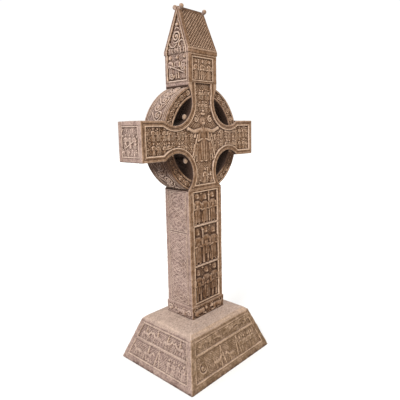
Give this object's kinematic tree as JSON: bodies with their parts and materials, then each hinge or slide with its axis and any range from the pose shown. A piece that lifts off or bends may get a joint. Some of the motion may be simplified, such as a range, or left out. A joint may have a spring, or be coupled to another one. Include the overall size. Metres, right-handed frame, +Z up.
{
  "type": "ringed cross memorial",
  "caption": "Tall ringed stone cross on a battered plinth, with framed relief panels, a collar and a steep-roofed capstone.",
  "frame": {"origin": "middle of the plinth's underside, where it meets the ground", "axes": "+Z up, X along the arms, -Y out of the principal face"},
  "size_m": [2.14, 1.416, 4.796],
  "materials": {
    "plinth_stone": "weathered sandstone, pale on top",
    "cross_stone": "weathered carved sandstone",
    "cap_stone": "weathered carved sandstone"
  },
  "bodies": {
    "root": {"plinth": "plinth_stone", "cross": "cross_stone", "capstone": "cap_stone"}
  },
  "joints": []
}
